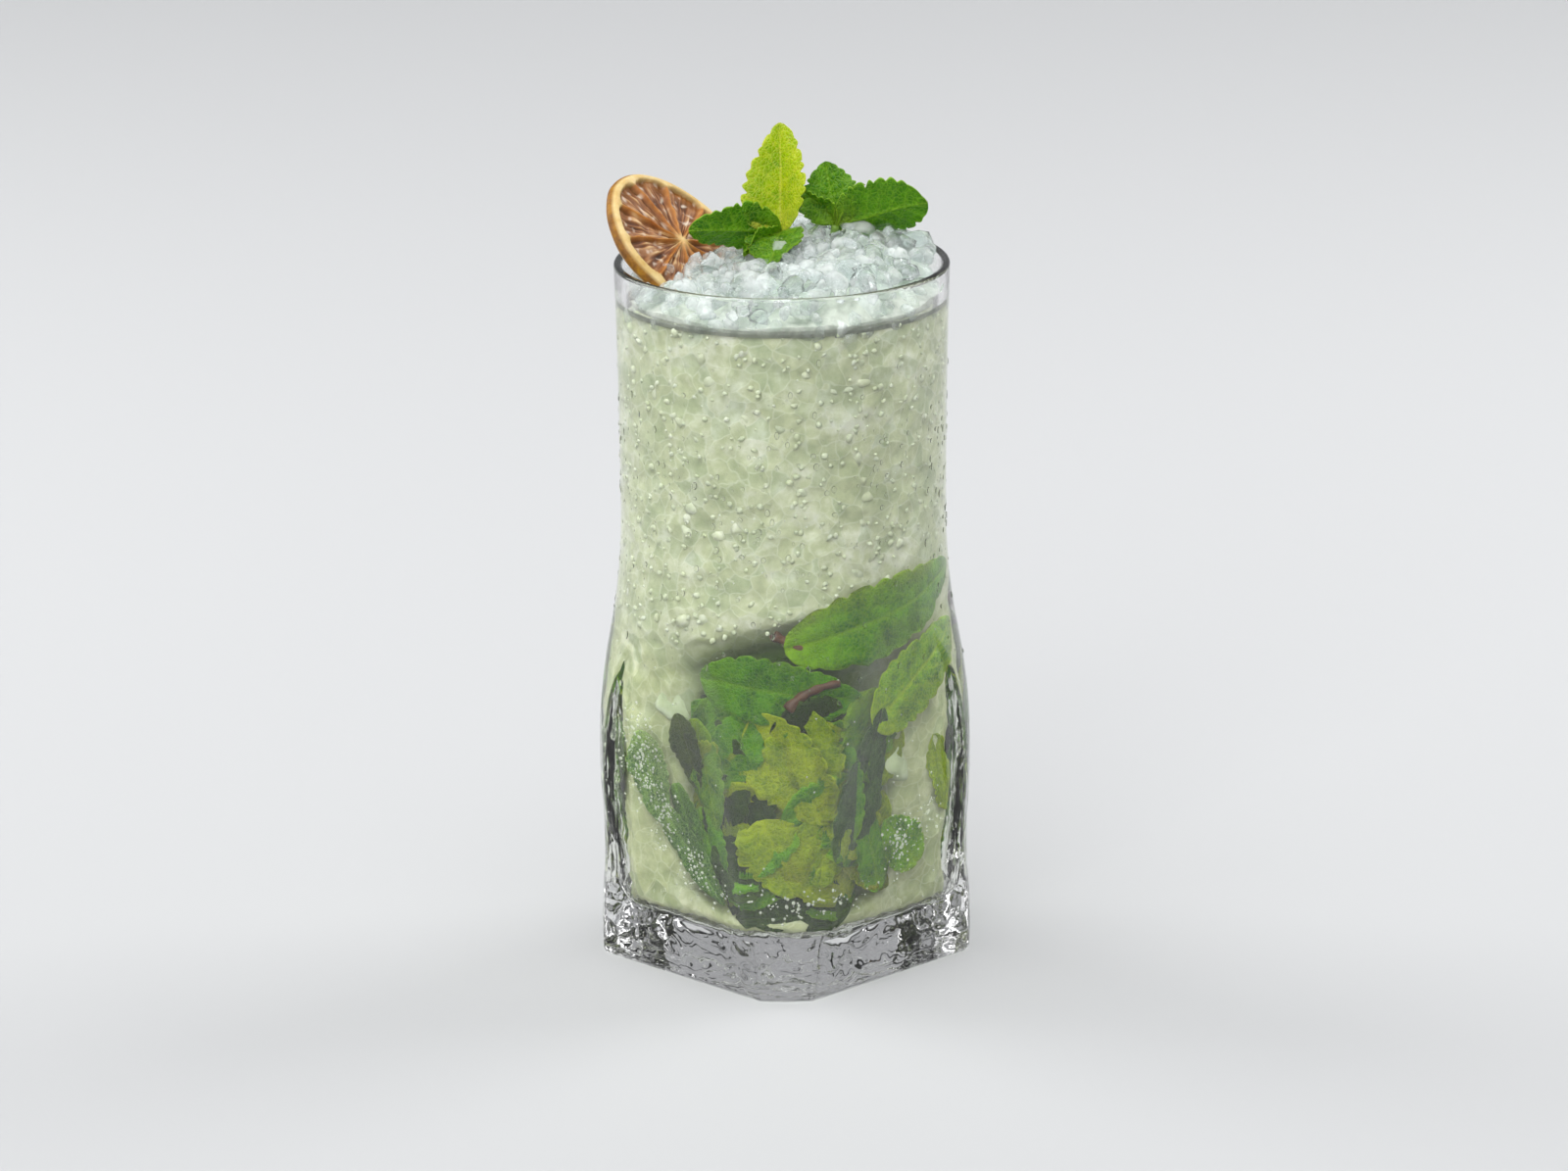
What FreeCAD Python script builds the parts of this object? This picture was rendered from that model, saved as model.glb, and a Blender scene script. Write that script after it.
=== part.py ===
import FreeCAD, Part
import math
import os
import Sketcher

# Mojito in a tumbler that is round at the mouth and square at the foot.
# +Z is up, the glass stands on Z = 0 and its axis is the Z axis.
# One corner of the square foot points along -Y, towards the viewer.

SIZES = {
    # glass, outside
    "glass_height": 154.3,
    "rim_radius": 36.0,
    "waist_radius": 35.1,
    "waist_height": 99.0,
    "bulge_radius": 40.3,
    "bulge_height": 46.0,
    "hollow_radius": 39.5,
    "hollow_height": 24.0,
    "foot_radius": 40.2,
    "foot_height": 8.0,
    "base_round": 1.6,
    # four flat faces
    "face_reach_low": 32.3,
    "face_reach_high": 36.5,
    "face_height": 90.0,
    "face_round": 3.0,
    # glass, inside
    "lip_thickness": 1.8,
    "lip_round": 0.85,
    "wall_thickness": 2.7,
    "bulge_wall": 4.4,
    "foot_wall": 7.0,
    "face_wall": 3.2,
    "floor_thickness": 12.5,
    "floor_round": 3.2,
    "cavity_corner_round": 9.0,
    # contents
    "liquid_drop": 7.5,
    "heap_edge_drop": 2.2,
    "heap_crown": 3.6,
    "heap_lean": 9.0,
    "heap_lean_azimuth": 30.0,
    "heap_lump": 1.3,
    "heap_headroom": 30.0,
    # dried citrus wheel
    "wheel_radius": 18.8,
    "wheel_thickness": 3.4,
    "wheel_edge_round": 0.9,
    "segment_depth": 0.9,
    "segment_inner": 3.0,
    "segment_outer": 16.2,
    "membrane_width": 1.3,
    "wheel_inset": 14.1,
    "wheel_back": 10.0,
    "wheel_lift": 0.9,
    "wheel_tilt": 42.9,
    "wheel_turn": -30.4,
    # mint
    "stem_radius": 1.15,
    "bud_radius": 1.9,
    "stem_depth": 14.0,
    "leaf_thickness": 0.6,
    "leaf_fold": 16.0,
    "leaf_droop": 0.07,
    "tooth_depth": 0.09,
}

TINY = 1e-6
SEGMENTS = 10
HEAP_RINGS = 9
HEAP_SPOKES = 26
LEAF_TEETH = 8
LEAF_WIDEST = 0.72      # below 1 moves the widest place towards the stalk
LEAF_BLUNTNESS = 0.62   # below 1 makes the outline fuller
TOOTHED_START = 0.14    # share of the leaf's length where its teeth begin
TOOTHED_SPAN = 0.8      # share of the length that they take
TOOTH_FILL = 0.85       # share of a tooth's pitch before the next notch
STALK_END = 0.1         # share of the length that is bare stalk
STALK_SHARE = 0.6       # half width of the stalk as a share of the stem's radius
TIP_SHARE = 0.5         # half width of the tip as a share of the leaf's thickness

# crown of each sprig: across, back, above the rim
SPRIGS = {
    "mint_sprig_left": {"across": -0.2, "back": 1.0, "rise": 5.6, "root_across": -2.0, "root_back": 5.0},
    "mint_sprig_right": {"across": 11.6, "back": 6.5, "rise": 6.0, "root_across": 8.0, "root_back": 9.0},
}

# leaves: azimuth, rise, roll, length, half width
LEAVES = {
    "mint_sprig_left": {
        "tall": (88.0, 75.0, 14.0, 23.6, 7.2),
        "side": (194.0, 8.0, 62.0, 20.6, 6.1),
        "front": (258.0, -14.0, 8.0, 12.4, 6.8),
    },
    "mint_sprig_right": {
        "inner": (160.0, 31.0, 52.0, 12.6, 4.5),
        "upright": (120.0, 75.0, -38.0, 14.0, 4.9),
        "outer": (-5.0, 18.0, -58.0, 20.6, 6.8),
        "hind": (52.0, 43.0, -30.0, 11.8, 3.2),
    },
}
LEAF_SIZES = ("azimuth", "rise", "roll", "length", "half_width")


def cell(name):
    return "<<Sizes>>." + name


def fill_sheet(sheet):
    """Every driving size is one cell with its own name."""
    named = dict(SIZES)
    for sprig, place in SPRIGS.items():
        for key, value in place.items():
            named[sprig + "_" + key] = value
    for sprig, leaves in LEAVES.items():
        for leaf, values in leaves.items():
            for key, value in zip(LEAF_SIZES, values):
                named["_".join((sprig, leaf, key))] = value
    for row, (name, value) in enumerate(named.items(), start=1):
        sheet.set("A%d" % row, name)
        sheet.set("B%d" % row, str(value))
        sheet.setAlias("B%d" % row, name)


def origin_feature(body, role):
    return [item for item in body.Origin.OriginFeatures if item.Role == role][0]


def value_of(sheet, expression):
    result = sheet.evalExpression(expression)
    return float(getattr(result, "Value", result))


def arc_between(start, end, radius, side):
    """Arc from start to end; side +1 puts the centre to the left of the way from start to end."""
    middle = (start + end) * 0.5
    way = end - start
    half = way.Length * 0.5
    left = FreeCAD.Vector(-way.y, way.x, 0) * (1.0 / way.Length)
    centre = middle + left * (side * math.sqrt(radius * radius - half * half))
    circle = Part.Circle(centre, FreeCAD.Vector(0, 0, 1), radius)
    first, last = (start, end) if side > 0 else (end, start)
    return Part.ArcOfCircle(circle, circle.parameter(first), circle.parameter(last))


def closed_sketch(body, sheet, name, role, corners, arcs):
    """Closed outline through corners (x, y expressions); arcs maps a corner's index to (radius, side)."""
    sketch = body.newObject("Sketcher::SketchObject", name)
    sketch.AttachmentSupport = [(origin_feature(body, role), "")]
    sketch.MapMode = "FlatFace"
    points = [FreeCAD.Vector(value_of(sheet, x), value_of(sheet, y), 0) for x, y in corners]
    ends = []
    for index, start in enumerate(points):
        end = points[(index + 1) % len(points)]
        if index in arcs:
            radius, side = arcs[index]
            sketch.addGeometry(arc_between(start, end, value_of(sheet, radius), side))
            ends.append((1, 2) if side > 0 else (2, 1))
        else:
            sketch.addGeometry(Part.LineSegment(start, end))
            ends.append((1, 2))
    for index in range(len(points)):
        after = (index + 1) % len(points)
        sketch.addConstraint(Sketcher.Constraint("Coincident", index, ends[index][1], after, ends[after][0]))
    for index, (x, y) in enumerate(corners):
        for kind, expression, number, axis in (("DistanceX", x, points[index].x, -2),
                                               ("DistanceY", y, points[index].y, -1)):
            if abs(number) < 1e-9:
                sketch.addConstraint(Sketcher.Constraint("PointOnObject", index, ends[index][0], axis))
            else:
                datum = sketch.addConstraint(
                    Sketcher.Constraint(kind, -1, 1, index, ends[index][0], number))
                sketch.setExpression("Constraints[%d]" % datum, expression)
    for index, (radius, side) in arcs.items():
        datum = sketch.addConstraint(Sketcher.Constraint("Radius", index, value_of(sheet, radius)))
        sketch.setExpression("Constraints[%d]" % datum, radius)
    return sketch


def smooth_side(sheet, corners, arcs, stations):
    """Add a side that is upright at each station (radius, height) and bends gently between them."""
    for (low, base), (high, top) in zip(stations, stations[1:]):
        widen = "(%s - (%s))" % (high, low)
        climb = "(%s - (%s))" % (top, base)
        bend = "(%s * %s + %s * %s) / (4 * abs(%s))" % (widen, widen, climb, climb, widen)
        side = -1 if value_of(sheet, widen) > 0 else 1
        corners.append((low, base))
        arcs[len(corners) - 1] = (bend, side)
        corners.append(("(%s + %s) / 2" % (low, high), "(%s + %s) / 2" % (base, top)))
        arcs[len(corners) - 1] = (bend, -side)


def upright_bend(near, far):
    """Radius of an arc between two stations (radius, height) that is upright at the near one."""
    widen = "(%s - (%s))" % (far[0], near[0])
    climb = "(%s - (%s))" % (far[1], near[1])
    return "(%s * %s + %s * %s) / (2 * abs(%s))" % (widen, widen, climb, climb, widen)


def revolved(body, sketch, name):
    feature = body.newObject("PartDesign::Revolution", name)
    feature.Profile = sketch
    feature.ReferenceAxis = (sketch, ["V_Axis"])
    feature.Angle = 360.0
    return feature


def cut_faces(doc, body, sheet, reach_low, reach_high, low, name):
    """Four equal flat faces, each leaning with the height."""
    far = cell("bulge_radius") + " * 2"
    corners = [(reach_low, low), (far, low), (far, cell("face_height")), (reach_high, cell("face_height"))]
    sketch = closed_sketch(body, sheet, name + "_sketch", "XZ_Plane", corners, {})
    pocket = body.newObject("PartDesign::Pocket", name)
    pocket.Profile = sketch
    pocket.Type = "Length"
    pocket.SideType = "Symmetric"
    pocket.setExpression("Length", cell("bulge_radius") + " * 4")
    pattern = body.newObject("PartDesign::PolarPattern", name + "_pattern")
    pattern.Originals = [pocket]
    pattern.Axis = (origin_feature(body, "Z_Axis"), [""])
    pattern.Angle = 360.0
    pattern.Occurrences = 4
    body.Tip = pattern
    doc.recompute()
    return pattern


def round_edges(doc, body, base, name, radius, wanted):
    names = ["Edge%d" % (i + 1) for i, edge in enumerate(base.Shape.Edges) if wanted(edge)]
    fillet = body.newObject("PartDesign::Fillet", name)
    fillet.Base = (base, names)
    fillet.setExpression("Radius", radius)
    body.Tip = fillet
    doc.recompute()
    return fillet


def corner_forward(body):
    body.Placement = FreeCAD.Placement(FreeCAD.Vector(0, 0, 0), FreeCAD.Rotation(FreeCAD.Vector(0, 0, 1), 45))


def is_arch(edge):
    """Edges where a flat face meets the round side."""
    return edge.Curve.TypeId in ("Part::GeomBSplineCurve", "Part::GeomEllipse")


def outer_form(doc, sheet):
    """Outside of the glass as a full solid."""
    body = doc.addObject("PartDesign::Body", "outer_form")
    height = cell("glass_height")
    rim = cell("rim_radius")
    lip = cell("lip_round")
    waist = (cell("waist_radius"), cell("waist_height"))
    shoulder = height + " - " + lip
    corners = [("0", "0"), (cell("foot_radius"), "0")]
    arcs = {}
    stations = [(cell(place + "_radius"), cell(place + "_height")) for place in ("foot", "hollow", "bulge")]
    smooth_side(sheet, corners, arcs, stations + [waist])
    corners.append(waist)
    arcs[len(corners) - 1] = (upright_bend(waist, (rim, shoulder)), -1)
    corners.append((rim, shoulder))
    arcs[len(corners) - 1] = (lip, 1)
    corners.append((rim + " - " + lip, height))
    corners.append(("0", height))
    sketch = closed_sketch(body, sheet, "outer_sketch", "XZ_Plane", corners, arcs)
    revolved(body, sketch, "outer_revolution")
    doc.recompute()
    faces = cut_faces(doc, body, sheet, cell("face_reach_low"), cell("face_reach_high"), "0", "outer_face")
    arches = round_edges(doc, body, faces, "arch_round", cell("face_round"), is_arch)
    round_edges(doc, body, arches, "base_edge_round", cell("base_round"),
                lambda edge: edge.BoundBox.ZMax < TINY)
    corner_forward(body)
    return body


def cavity_form(doc, sheet):
    """Inside of the glass as a full solid, carried on above the rim as headroom for the heap."""
    body = doc.addObject("PartDesign::Body", "cavity_form")
    height = cell("glass_height")
    lip = cell("lip_round")
    mouth = cell("rim_radius") + " - " + cell("lip_thickness")
    top = height + " + " + cell("heap_headroom")
    floor = (cell("foot_radius") + " - " + cell("foot_wall"), cell("floor_thickness"))
    bulge = (cell("bulge_radius") + " - " + cell("bulge_wall"), cell("bulge_height"))
    waist = (cell("waist_radius") + " - " + cell("wall_thickness"), cell("waist_height"))
    corners = [("0", floor[1]), floor]
    arcs = {1: (upright_bend(bulge, floor), 1)}
    smooth_side(sheet, corners, arcs, [bulge, waist])
    corners.append(waist)
    arcs[len(corners) - 1] = (upright_bend(waist, (mouth, height + " - " + lip)), -1)
    corners.append((mouth, height + " - " + lip))
    arcs[len(corners) - 1] = (lip, -1)
    corners.append((mouth + " + " + lip, height))
    corners.append((mouth + " + " + lip, top))
    corners.append(("0", top))
    sketch = closed_sketch(body, sheet, "cavity_sketch", "XZ_Plane", corners, arcs)
    revolved(body, sketch, "cavity_revolution")
    doc.recompute()
    faces = cut_faces(doc, body, sheet, cell("face_reach_low") + " - " + cell("face_wall"),
                      cell("face_reach_high") + " - " + cell("face_wall"), "0", "cavity_face")
    arches = round_edges(doc, body, faces, "cavity_arch_round", cell("cavity_corner_round"), is_arch)
    low = value_of(sheet, floor[1]) + TINY
    round_edges(doc, body, arches, "floor_edge_round", cell("floor_round"),
                lambda edge: edge.BoundBox.ZMax < low)
    corner_forward(body)
    return body


def common(doc, name, base, tool):
    result = doc.addObject("Part::Common", name)
    result.Base = base
    result.Tool = tool
    return result


def cut(doc, name, base, tool):
    result = doc.addObject("Part::Cut", name)
    result.Base = base
    result.Tool = tool
    return result


def bound_feature(doc, name, shape):
    feature = doc.addObject("Part::Feature", name)
    feature.Shape = shape
    return feature


# lumps of the ice: how often they come round the heap, and how they turn with the distance from its middle
WIDE_LUMPS, WIDE_TURN = 5.0, 7.0
BROAD_LUMPS, BROAD_TURN = 3.0, 11.0
SMALL_LUMPS, SMALL_TURN = 17.0, 23.0
RIPPLE_SHARE, GRAIN_SHARE = 0.5, 0.4


def heap_height(read, share, angle):
    """Top of the ice above the rim: a leaning dome with lumps."""
    dome = (read("heap_crown") + read("heap_edge_drop")) * (1.0 - share * share) - read("heap_edge_drop")
    toward = 0.5 + 0.5 * math.cos(angle - math.radians(read("heap_lean_azimuth")))
    lean = read("heap_lean") * share * (1.0 - share ** 4) * toward
    wide = math.cos(WIDE_LUMPS * angle + WIDE_TURN * share)
    broad = math.sin(BROAD_LUMPS * angle - BROAD_TURN * share)
    grain = math.sin(SMALL_LUMPS * angle + SMALL_TURN * share * share)
    return dome + lean + read("heap_lump") * (RIPPLE_SHARE * (wide + broad) + GRAIN_SHARE * grain)


def heap_blank(doc, read):
    """Faceted mound over the whole mouth, from the liquid level up to the uneven top of the ice."""
    reach = read("rim_radius")
    height = read("glass_height")
    floor = height - read("liquid_drop")
    top = [[FreeCAD.Vector(0, 0, height + heap_height(read, 0.0, 0.0))]]
    for ring in range(1, HEAP_RINGS + 1):
        share = ring / HEAP_RINGS
        row = []
        for spoke in range(HEAP_SPOKES):
            angle = 2.0 * math.pi * (spoke + 0.5 * (ring % 2)) / HEAP_SPOKES
            rise = heap_height(read, share, angle)
            row.append(FreeCAD.Vector(reach * share * math.cos(angle), reach * share * math.sin(angle),
                                      height + rise))
        top.append(row)
    foot = [FreeCAD.Vector(point.x, point.y, floor) for point in top[-1]]
    facets = []
    for spoke in range(HEAP_SPOKES):
        after = (spoke + 1) % HEAP_SPOKES
        facets.append((top[0][0], top[1][spoke], top[1][after]))
        for ring in range(1, HEAP_RINGS):
            inner, outer = top[ring], top[ring + 1]
            if ring % 2:
                facets.append((inner[spoke], outer[after], inner[after]))
                facets.append((inner[spoke], outer[spoke], outer[after]))
            else:
                facets.append((inner[spoke], outer[spoke], inner[after]))
                facets.append((inner[after], outer[spoke], outer[after]))
        facets.append((top[-1][spoke], foot[spoke], foot[after]))
        facets.append((top[-1][spoke], foot[after], top[-1][after]))
    faces = [Part.Face(Part.makePolygon(list(facet) + [facet[0]])) for facet in facets]
    faces.append(Part.Face(Part.makePolygon(foot + [foot[0]])))
    return bound_feature(doc, "heap_blank", Part.Solid(Part.makeShell(faces)))


def citrus_wheel(doc, sheet):
    """Dried citrus slice: a disc whose segments are sunk between raised membranes on both sides."""
    body = doc.addObject("PartDesign::Body", "citrus_wheel")
    disc = body.newObject("Sketcher::SketchObject", "wheel_sketch")
    disc.AttachmentSupport = [(origin_feature(body, "XY_Plane"), "")]
    disc.MapMode = "FlatFace"
    radius = value_of(sheet, cell("wheel_radius"))
    disc.addGeometry(Part.Circle(FreeCAD.Vector(0, 0, 0), FreeCAD.Vector(0, 0, 1), radius))
    disc.addConstraint(Sketcher.Constraint("Coincident", 0, 3, -1, 1))
    disc.addConstraint(Sketcher.Constraint("Radius", 0, radius))
    disc.setExpression("Constraints[1]", cell("wheel_radius"))
    pad = body.newObject("PartDesign::Pad", "wheel_pad")
    pad.Profile = disc
    pad.SideType = "Symmetric"
    pad.setExpression("Length", cell("wheel_thickness"))
    body.Tip = pad
    doc.recompute()
    base = round_edges(doc, body, pad, "rind_round", cell("wheel_edge_round"), lambda edge: True)
    half = "(180 deg / %d)" % SEGMENTS
    gap = cell("membrane_width") + " / 2"
    inner, outer = cell("segment_inner"), cell("segment_outer")
    corners = []
    for reach, side in ((inner, "-"), (outer, "-"), (outer, ""), (inner, "")):
        along = "%s * cos(%s) + %s * sin(%s)" % (reach, half, gap, half)
        across = "%s(%s * sin(%s) - %s * cos(%s))" % (side, reach, half, gap, half)
        corners.append((along, across))
    pattern = base
    for side, name in ((1, "front_segment"), (-1, "back_segment")):
        sketch = closed_sketch(body, sheet, name + "_sketch", "XY_Plane", corners, {1: (outer, 1)})
        sketch.setExpression("AttachmentOffset.Base.z",
                             "%d * (%s / 2 - %s)" % (side, cell("wheel_thickness"), cell("segment_depth")))
        pocket = body.newObject("PartDesign::Pocket", name)
        pocket.Profile = sketch
        pocket.Type = "Length"
        pocket.Reversed = side > 0
        pocket.setExpression("Length", cell("wheel_thickness"))
        pattern = body.newObject("PartDesign::PolarPattern", name + "_pattern")
        pattern.Originals = [pocket]
        pattern.Axis = (origin_feature(body, "Z_Axis"), [""])
        pattern.Angle = 360.0
        pattern.Occurrences = SEGMENTS
        body.Tip = pattern
        doc.recompute()
    return body


def wheel_bed(doc, wheel, read):
    """The room that the slice takes up in the ice and the drink, segments included."""
    bed = doc.addObject("Part::Cylinder", "wheel_bed")
    bed.setExpression("Radius", cell("wheel_radius"))
    bed.setExpression("Height", cell("wheel_thickness"))
    middle = FreeCAD.Placement(FreeCAD.Vector(0, 0, -read("wheel_thickness") / 2), FreeCAD.Rotation())
    bed.Placement = wheel.Placement.multiply(middle)
    return bed


def seat_wheel(body, read):
    """The slice lies on the ice with its upper edge out over the left of the rim."""
    turn = FreeCAD.Rotation(FreeCAD.Vector(0, 0, 1), read("wheel_turn"))
    tilt = FreeCAD.Rotation(FreeCAD.Vector(0, 1, 0), read("wheel_tilt"))
    place = FreeCAD.Vector(-read("rim_radius") + read("wheel_inset"), read("wheel_back"),
                           read("glass_height") + read("wheel_lift"))
    body.Placement = FreeCAD.Placement(place, turn.multiply(tilt))


def leaf_axes(azimuth, rise, roll):
    """Unit vectors along the leaf, across it and out of its upper face."""
    turn, lift = math.radians(azimuth), math.radians(rise)
    along = FreeCAD.Vector(math.cos(turn) * math.cos(lift), math.sin(turn) * math.cos(lift), math.sin(lift))
    up = FreeCAD.Vector(0, 0, 1)
    face = up - along * up.dot(along)
    face.normalize()
    face = FreeCAD.Rotation(along, roll).multVec(face)
    return along, face.cross(along), face


def leaf_half_width(share, half_width):
    """Egg-shaped outline, widest below the middle."""
    return half_width * math.sin(math.pi * share ** LEAF_WIDEST) ** LEAF_BLUNTNESS


def leaf_solid(read, sprig, leaf, crown):
    """Thin folded blade with a toothed edge, lofted through thin sections."""
    azimuth, rise, roll, length, half_width = [read("_".join((sprig, leaf, key))) for key in LEAF_SIZES]
    along, across, face = leaf_axes(azimuth, rise, roll)
    thick = read("leaf_thickness")
    fold = math.tan(math.radians(read("leaf_fold")))
    narrow = read("stem_radius") * STALK_SHARE
    stations = [(0.0, narrow), (STALK_END, narrow)]
    for tooth in range(LEAF_TEETH):
        start = TOOTHED_START + TOOTHED_SPAN * tooth / LEAF_TEETH
        end = TOOTHED_START + TOOTHED_SPAN * (tooth + TOOTH_FILL) / LEAF_TEETH
        notch = 1.0 - read("tooth_depth")
        stations.append((start, leaf_half_width(start, half_width) * notch))
        stations.append((end, leaf_half_width(end, half_width)))
    stations.append((1.0, thick * TIP_SHARE))
    sections = []
    for share, wide in stations:
        middle = crown + along * (length * share) - face * (read("leaf_droop") * length * share * share)
        lift = face * (wide * fold)
        below = face * -thick
        left, right = middle - across * wide + lift, middle + across * wide + lift
        ring = [left, middle, right, right + below, middle + below, left + below]
        sections.append(Part.makePolygon(ring + [ring[0]]))
    return Part.makeLoft(sections, True, True)


def stem_solid(read, sprig, crown):
    """Bent stem from the crown down into the drink, with a bud where the leaves meet."""
    root = FreeCAD.Vector(read(sprig + "_root_across"), read(sprig + "_root_back"),
                          read("glass_height") - read("stem_depth"))
    middle = (crown + root) * 0.5 + FreeCAD.Vector(0, read("stem_radius"), 0)
    path = Part.BSplineCurve()
    path.interpolate([root, middle, crown])
    ring = Part.Wire(Part.makeCircle(read("stem_radius"), root, path.tangent(0.0)[0]))
    stem = Part.Wire(path.toShape()).makePipeShell([ring], True, True)
    return stem.fuse(Part.makeSphere(read("bud_radius"), crown))


def mint_sprig(doc, read, sprig):
    """One stem with all its leaves in one solid."""
    crown = FreeCAD.Vector(read(sprig + "_across"), read(sprig + "_back"),
                           read("glass_height") + read(sprig + "_rise"))
    pieces = [bound_feature(doc, sprig + "_stem", stem_solid(read, sprig, crown))]
    for leaf in LEAVES[sprig]:
        name = "_".join((sprig, leaf, "leaf"))
        pieces.append(bound_feature(doc, name, leaf_solid(read, sprig, leaf, crown)))
    fused = doc.addObject("Part::MultiFuse", sprig)
    fused.Shapes = pieces
    return fused


def build():
    doc = FreeCAD.newDocument("Mojito")
    sheet = doc.addObject("Spreadsheet::Sheet", "Sizes")
    fill_sheet(sheet)
    doc.recompute()

    def read(name):
        return float(sheet.get(name))

    cavity = cavity_form(doc, sheet)
    glass = cut(doc, "glass_tumbler", outer_form(doc, sheet), cavity)

    wheel = citrus_wheel(doc, sheet)
    seat_wheel(wheel, read)
    sprigs = [mint_sprig(doc, read, sprig) for sprig in SPRIGS]
    garnish = doc.addObject("Part::Compound", "garnish_room")
    garnish.Links = [wheel_bed(doc, wheel, read)] + sprigs

    mound = common(doc, "mound", heap_blank(doc, read), cavity)
    heap = cut(doc, "ice_heap", mound, garnish)

    fill = doc.addObject("Part::Cylinder", "fill_level")
    fill.setExpression("Radius", cell("bulge_radius"))
    fill.setExpression("Height", cell("glass_height") + " - " + cell("liquid_drop"))
    poured = common(doc, "poured", fill, cavity)
    drink = cut(doc, "drink", poured, garnish)
    doc.recompute()
    return doc, [glass, drink, heap, wheel] + sprigs


def check_and_write(doc, nodes):
    """Refuse any broken object, then write one STEP file for each node."""
    for item in doc.Objects:
        if "Invalid" in item.State or "Error" in item.State:
            raise RuntimeError("%s is %s" % (item.Name, item.State))
    os.makedirs("parts", exist_ok=True)
    for node in nodes:
        node.Label = node.Name
        shape = node.Shape
        if shape.isNull() or not shape.isValid() or not shape.Solids:
            raise RuntimeError("%s has no valid solid" % node.Name)
        shape.exportStep("parts/%s.step" % node.Label)
        print(node.Label, len(shape.Solids), "solid,", round(shape.Volume), "mm3")


check_and_write(*build())
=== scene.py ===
import math
import random

import bmesh
import bpy
import numpy as np
from mathutils import Matrix, Vector, noise
from mathutils.bvhtree import BVHTree


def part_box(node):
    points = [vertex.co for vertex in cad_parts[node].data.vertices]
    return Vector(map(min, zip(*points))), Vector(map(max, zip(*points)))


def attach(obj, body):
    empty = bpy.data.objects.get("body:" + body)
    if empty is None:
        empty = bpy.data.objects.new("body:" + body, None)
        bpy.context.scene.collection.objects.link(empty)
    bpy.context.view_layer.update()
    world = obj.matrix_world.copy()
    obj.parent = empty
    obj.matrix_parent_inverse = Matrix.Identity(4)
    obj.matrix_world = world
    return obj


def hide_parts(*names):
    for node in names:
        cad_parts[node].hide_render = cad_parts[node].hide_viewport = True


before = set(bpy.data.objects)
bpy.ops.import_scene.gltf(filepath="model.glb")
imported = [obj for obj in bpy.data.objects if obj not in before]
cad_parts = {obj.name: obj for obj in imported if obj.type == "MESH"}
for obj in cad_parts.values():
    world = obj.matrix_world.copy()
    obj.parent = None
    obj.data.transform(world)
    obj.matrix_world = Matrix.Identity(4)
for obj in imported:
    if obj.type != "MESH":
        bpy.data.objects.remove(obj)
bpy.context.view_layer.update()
random.seed(7)
MM = 0.001
UP = Vector((0, 0, 1))

GLASS_LOW, GLASS_HIGH = [Vector(corner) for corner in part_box("glass_tumbler")]
DRINK_LOW, DRINK_HIGH = [Vector(corner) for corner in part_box("drink")]
RIM = GLASS_HIGH.z
FLOOR = DRINK_LOW.z
LEVEL = DRINK_HIGH.z
HEART = Vector((0, 0, RIM / 2))


# ---------------------------------------------------------------- reading the frame

def node_points(name):
    """Points of a CAD node's mesh, which are world points as the node sits at the origin."""
    return np.array([vertex.co[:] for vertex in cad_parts[name].data.vertices])


def node_faces(name):
    """Faces of a CAD node's mesh, as point numbers."""
    return [tuple(face.vertices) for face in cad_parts[name].data.polygons]


def node_tree(name):
    """Ray-casting tree of one CAD node."""
    return BVHTree.FromPolygons([Vector(point) for point in node_points(name)], node_faces(name))


DRINK_TREE = node_tree("drink")
GLASS_TREE = node_tree("glass_tumbler")
HEAP_TREE = node_tree("ice_heap")
WHEEL_TREE = node_tree("citrus_wheel")


def outward(azimuth):
    """Level unit vector; azimuth 0 points to -Y and grows towards +X."""
    return Vector((math.sin(azimuth), -math.cos(azimuth), 0.0))


def inner_radius(azimuth, height):
    """Radius of the inside of the glass, read off the drink that fills it."""
    height = min(max(height, FLOOR + 0.5 * MM), LEVEL - 0.5 * MM)
    out = outward(azimuth)
    hit = DRINK_TREE.ray_cast(Vector((0, 0, height)) + out * 0.1, -out)
    return Vector((hit[0].x, hit[0].y)).length


COLUMNS = 180
ROWS = 90
RADII = [[inner_radius(2 * math.pi * column / COLUMNS, FLOOR + (LEVEL - FLOOR) * row / ROWS)
          for column in range(COLUMNS + 1)] for row in range(ROWS + 1)]


def wall(azimuth, height):
    """The same radius from a table of rays, quicker and smoother."""
    column = (azimuth / (2 * math.pi) % 1.0) * COLUMNS
    row = min(max((height - FLOOR) / (LEVEL - FLOOR), 0.0), 0.9999) * ROWS
    left, low = min(int(column), COLUMNS - 1), int(row)
    across, up = column - left, row - low
    lower = RADII[low][left] * (1 - across) + RADII[low][left + 1] * across
    upper = RADII[low + 1][left] * (1 - across) + RADII[low + 1][left + 1] * across
    return lower * (1 - up) + upper * up


def on_wall(azimuth, height, depth):
    """Point at a depth inside the wall of the glass."""
    point = outward(azimuth) * (wall(azimuth, height) - depth)
    point.z = height
    return point


# ---------------------------------------------------------------- pieces

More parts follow.
